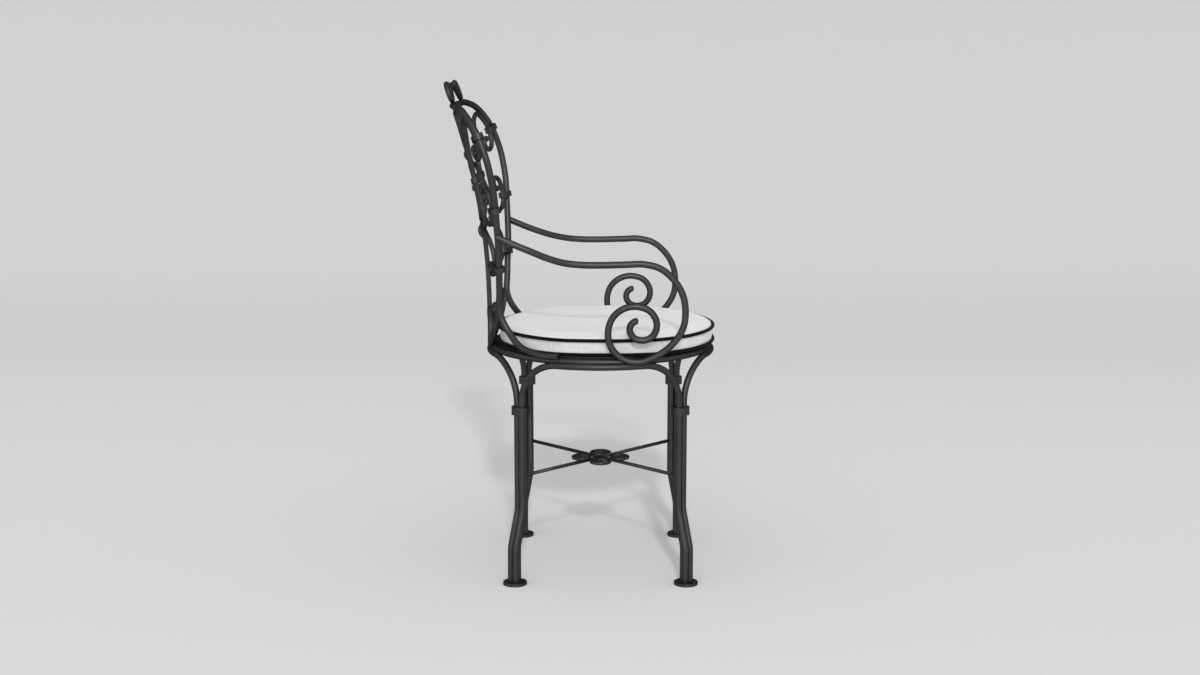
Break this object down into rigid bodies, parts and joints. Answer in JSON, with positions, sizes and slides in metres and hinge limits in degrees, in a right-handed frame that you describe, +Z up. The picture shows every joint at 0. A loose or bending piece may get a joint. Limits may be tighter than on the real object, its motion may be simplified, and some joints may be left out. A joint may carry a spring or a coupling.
{
  "type": "garden armchair",
  "caption": "Open garden armchair of bent round iron bar with a scrollwork back, curled arms and a loose round cushion.",
  "frame": {"origin": "on the floor, at the centre of the bounding box's plan", "axes": "+Z up, +X to the sitter's left, the sitter faces -Y"},
  "size_m": [0.451, 0.522, 0.9627],
  "materials": {
    "iron_bar": "dark charcoal paint, satin",
    "cushion_cloth": "off-white woven outdoor cloth",
    "piping_cord": "black covered piping"
  },
  "bodies": {
    "frame": {"arch_front": "iron_bar", "arch_left": "iron_bar", "arch_rear": "iron_bar", "arch_right": "iron_bar", "arm_left": "iron_bar", "arm_right": "iron_bar", "back_hoop": "iron_bar", "back_stem": "iron_bar", "base_leaf_left": "iron_bar", "base_leaf_right": "iron_bar", "base_scroll_left": "iron_bar", "base_scroll_right": "iron_bar", "bundle_collar_left": "iron_bar", "bundle_collar_right": "iron_bar", "corner_scroll_left": "iron_bar", "corner_scroll_right": "iron_bar", "finial": "iron_bar", "foot_plate_front_left": "iron_bar", "foot_plate_front_right": "iron_bar", "foot_plate_rear_left": "iron_bar", "foot_plate_rear_right": "iron_bar", "hoop_collar_middle_left": "iron_bar", "hoop_collar_middle_right": "iron_bar", "hoop_collar_top_left": "iron_bar", "hoop_collar_top_right": "iron_bar", "hoop_collar_waist_left": "iron_bar", "hoop_collar_waist_right": "iron_bar", "leg_collar_front_left": "iron_bar", "leg_collar_front_right": "iron_bar", "leg_collar_rear_left": "iron_bar", "leg_collar_rear_right": "iron_bar", "leg_inner_bar_front_left": "iron_bar", "leg_inner_bar_front_right": "iron_bar", "leg_inner_bar_rear_left": "iron_bar", "leg_inner_bar_rear_right": "iron_bar", "lyre_bar_left": "iron_bar", "lyre_bar_right": "iron_bar", "mid_scroll_left": "iron_bar", "mid_scroll_right": "iron_bar", "seat_rim": "iron_bar", "seat_ring": "iron_bar", "seat_slats": "iron_bar", "stem_bow_lower": "iron_bar", "stem_bow_upper": "iron_bar", "stem_collar": "iron_bar", "stretcher_long_rod": "iron_bar", "stretcher_rosette": "iron_bar", "stretcher_split_rod": "iron_bar", "waist_scroll_left": "iron_bar", "waist_scroll_right": "iron_bar"},
    "cushion": {"cushion_pad": "cushion_cloth", "cushion_piping_high": "piping_cord", "cushion_piping_low": "piping_cord"}
  },
  "joints": [
    {"name": "cushion_lift", "type": "slide", "parent": "frame", "child": "cushion", "axis": [0, 0, 1], "range_m": [0, 0.56]}
  ]
}
